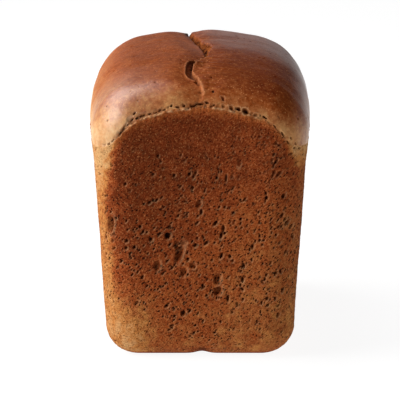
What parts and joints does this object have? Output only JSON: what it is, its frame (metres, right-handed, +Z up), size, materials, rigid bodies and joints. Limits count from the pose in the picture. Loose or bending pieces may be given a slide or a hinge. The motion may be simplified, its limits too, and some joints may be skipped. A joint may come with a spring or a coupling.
{
  "type": "tin loaf",
  "caption": "Brick-shaped loaf of dark tin bread with tapered walls, a two-lobed domed top and a crack along it.",
  "frame": {"origin": "middle of the base, on the surface that the loaf stands on", "axes": "+Z up, +Y along the loaf's length towards its far end, +X across it, to the right seen from the front end"},
  "size_m": [0.1186, 0.2234, 0.1541],
  "materials": {
    "crust": "satin on the dome, matte and porous on the walls"
  },
  "bodies": {
    "root": {"loaf": "crust"}
  },
  "joints": []
}
